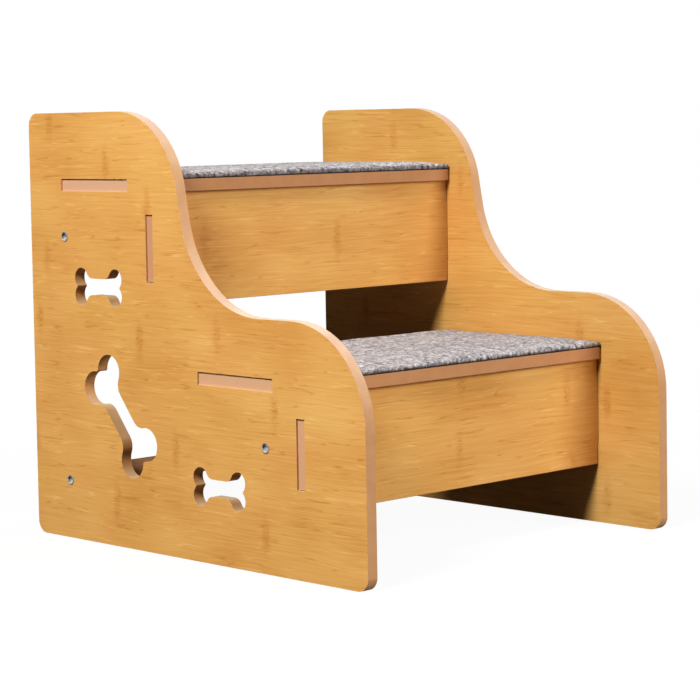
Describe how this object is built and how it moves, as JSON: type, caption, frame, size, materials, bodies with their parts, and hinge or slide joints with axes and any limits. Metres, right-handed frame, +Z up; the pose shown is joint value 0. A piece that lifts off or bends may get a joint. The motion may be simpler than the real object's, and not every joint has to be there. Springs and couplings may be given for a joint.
{
  "type": "pet stairs",
  "caption": "Low pet stairs with curved side panels pierced by bone cut-outs, and felt-padded treads and risers held by through tenons and bolted round rails.",
  "frame": {"origin": "on the floor, under the middle of the stairs' overall box", "axes": "+X to the right seen from the front, -Y to the front where a pet steps on, +Z up"},
  "size_m": [0.3984, 0.45, 0.4],
  "materials": {
    "faced_panel": "fine streaked honey-coloured wood facing, satin, with bare fibreboard edges",
    "faced_board": "fine streaked honey-coloured wood facing, satin, with bare fibreboard edges",
    "rail_wood": "turned pale wood, lightly sanded",
    "pad_backing": "matt dark non-slip backing",
    "felt": "speckled grey needle felt, fuzzy and matt",
    "bolt_steel": "dull zinc-plated steel",
    "insert_zinc": "plain zinc alloy"
  },
  "bodies": {
    "root": {"side_panel_left": "faced_panel", "side_panel_right": "faced_panel", "upper_tread": "faced_board", "lower_tread": "faced_board", "upper_riser": "faced_board", "lower_riser": "faced_board", "upper_rear_rail": "rail_wood", "lower_rear_rail": "rail_wood", "front_rail": "rail_wood", "upper_pad_backing": "pad_backing", "lower_pad_backing": "pad_backing", "upper_felt_pad": "felt", "lower_felt_pad": "felt", "left_bolts": "bolt_steel", "right_bolts": "bolt_steel", "left_inserts": "insert_zinc", "right_inserts": "insert_zinc"}
  },
  "joints": []
}
